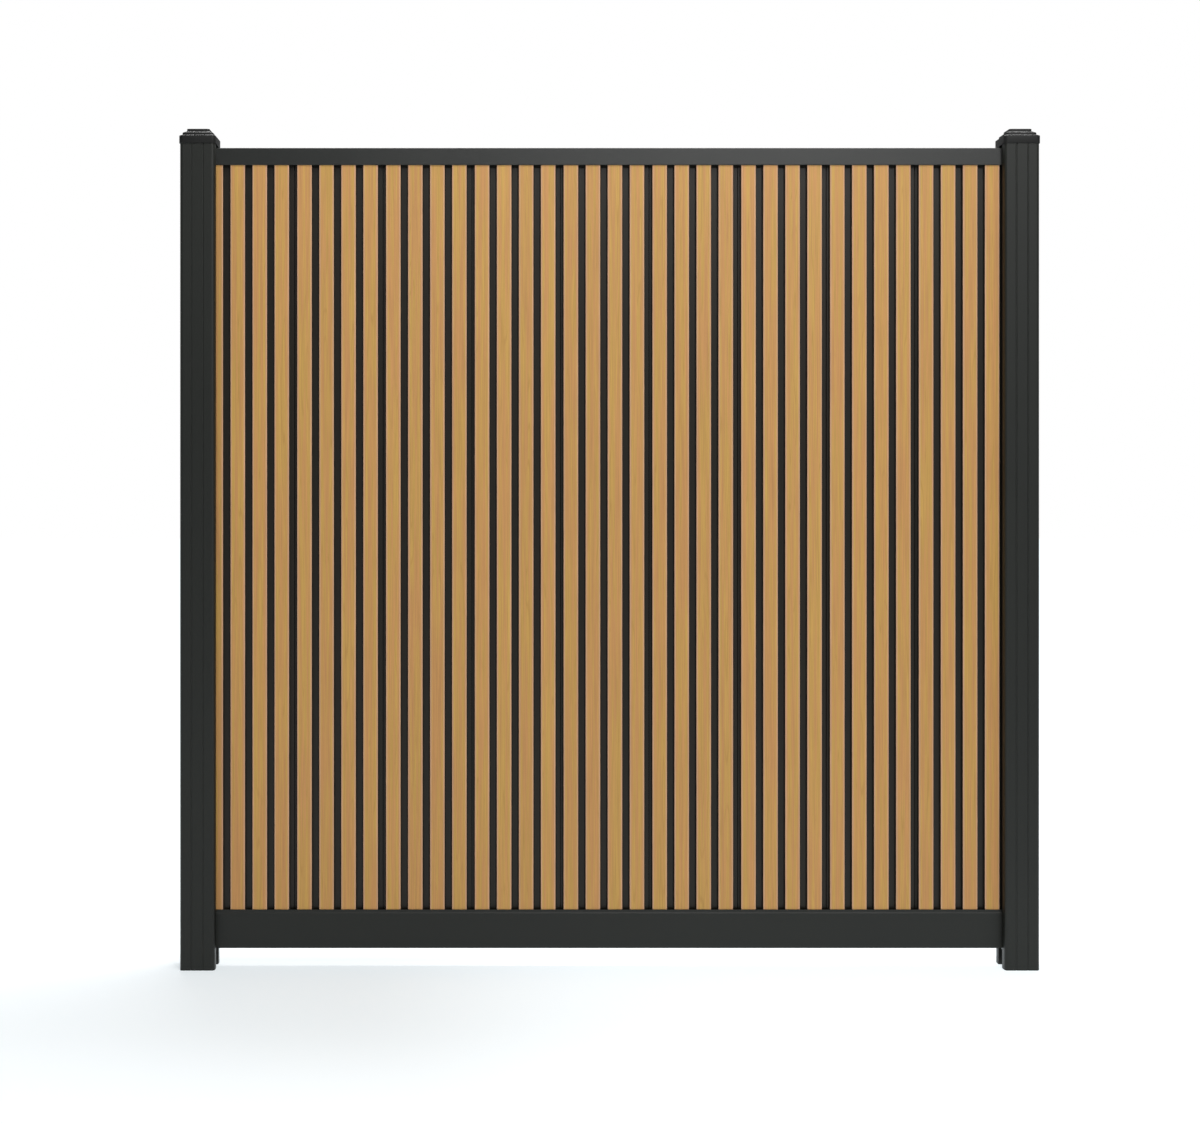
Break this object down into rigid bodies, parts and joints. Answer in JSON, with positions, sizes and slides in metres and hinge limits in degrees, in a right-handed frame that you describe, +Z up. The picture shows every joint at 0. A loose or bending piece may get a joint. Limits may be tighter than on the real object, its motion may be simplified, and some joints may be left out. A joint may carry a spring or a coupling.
{
  "type": "composite fence panel",
  "caption": "Slatted composite privacy panel: upright tongue-and-rebate boards held in two rails between a pair of slotted square posts with stepped caps.",
  "frame": {"origin": "on the ground, midway between the two posts and midway through their depth", "axes": "+X along the panel to the right as seen from the front, +Y from the ribbed front to the smooth back, +Z up"},
  "size_m": [1.928, 0.082, 1.8858],
  "materials": {
    "post_metal": "fine-textured anthracite powder coat",
    "rail_metal": "fine-textured anthracite powder coat",
    "cap_plastic": "fine-grained dark moulded plastic",
    "composite": "co-extruded wood composite: brushed tan rib faces on a charcoal body",
    "fixings": "zinc-plated"
  },
  "bodies": {
    "root": {"left_post": "post_metal", "right_post": "post_metal", "left_post_cap": "cap_plastic", "right_post_cap": "cap_plastic", "top_rail": "rail_metal", "bottom_rail": "rail_metal", "board_1": "composite", "board_2": "composite", "board_3": "composite", "board_4": "composite", "board_5": "composite", "board_6": "composite", "board_7": "composite", "board_8": "composite", "board_9": "composite", "left_rail_bracket": "fixings", "right_rail_bracket": "fixings", "left_bracket_screws": "fixings", "right_bracket_screws": "fixings", "left_top_rail_screw": "fixings", "right_top_rail_screw": "fixings"}
  },
  "joints": []
}
